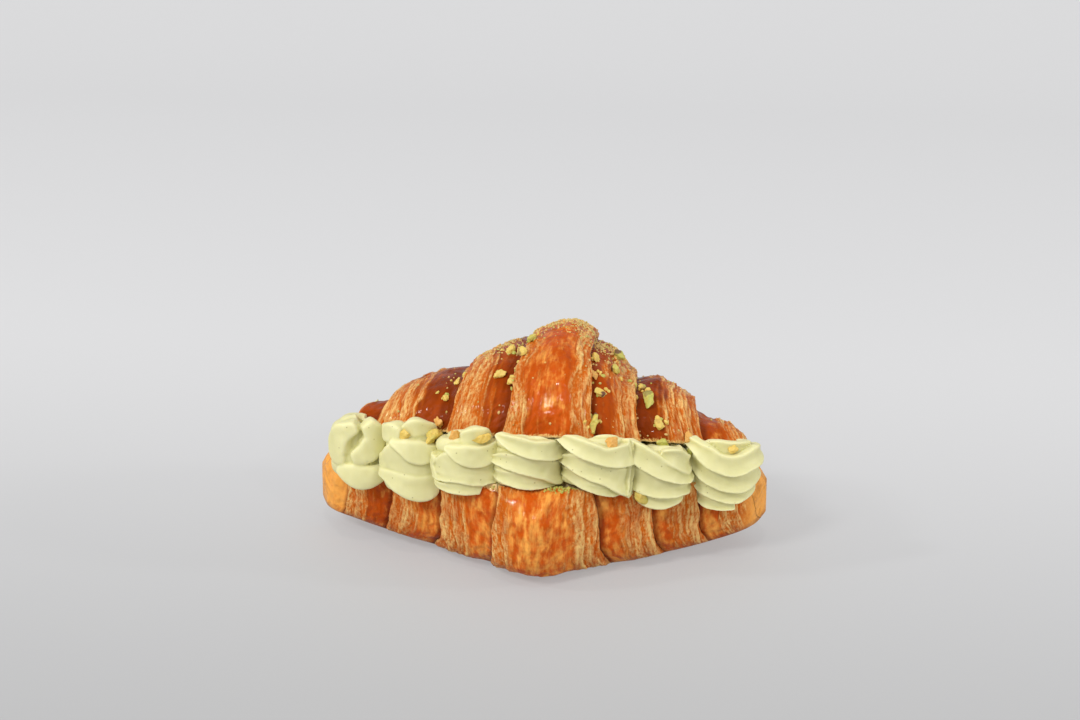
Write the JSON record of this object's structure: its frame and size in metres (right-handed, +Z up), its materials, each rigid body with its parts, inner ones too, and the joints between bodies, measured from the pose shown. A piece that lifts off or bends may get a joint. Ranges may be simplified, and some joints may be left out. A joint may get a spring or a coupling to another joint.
{
  "type": "filled croissant",
  "caption": "Butter croissant sliced open along its length, filled with a row of piped pistachio cream rosettes and scattered with chopped pistachios.",
  "frame": {"origin": "on the table under the middle of the bounding box", "axes": "+X runs along the croissant to its right tip, -Y is the open front where the cream shows, +Z is up"},
  "size_m": [0.1554, 0.1022, 0.0769],
  "materials": {
    "crust": "egg-washed golden-brown laminated crust, satin to glossy; matt pale crumb on the cut faces",
    "cream": "smooth whipped cream, soft sheen, pale green-yellow",
    "pistachio": "chopped kernel, matt, yellow-green with brown skin"
  },
  "bodies": {
    "root": {"croissant_base": "crust", "croissant_lid": "crust", "cream_filling": "cream", "cream_rosette_left_end": "cream", "cream_rosette_1": "cream", "cream_rosette_2": "cream", "cream_rosette_3": "cream", "cream_rosette_4": "cream", "cream_rosette_5": "cream", "cream_rosette_6": "cream", "cream_rosette_7": "cream", "cream_rosette_right_end": "cream", "pistachio_lid_1": "pistachio", "pistachio_lid_2": "pistachio", "pistachio_lid_3": "pistachio", "pistachio_lid_4": "pistachio", "pistachio_lid_5": "pistachio", "pistachio_lid_6": "pistachio", "pistachio_lid_7": "pistachio", "pistachio_lid_8": "pistachio", "pistachio_lid_9": "pistachio", "pistachio_lid_10": "pistachio", "pistachio_lid_11": "pistachio", "pistachio_lid_12": "pistachio", "pistachio_lid_13": "pistachio", "pistachio_lid_14": "pistachio", "pistachio_lid_15": "pistachio", "pistachio_lid_16": "pistachio", "pistachio_lid_17": "pistachio", "pistachio_lid_18": "pistachio", "pistachio_cream_1": "pistachio", "pistachio_cream_2": "pistachio", "pistachio_cream_3": "pistachio", "pistachio_cream_4": "pistachio", "pistachio_cream_5": "pistachio", "pistachio_cream_6": "pistachio", "pistachio_cream_7": "pistachio", "pistachio_cream_8": "pistachio", "pistachio_cream_9": "pistachio"}
  },
  "joints": []
}
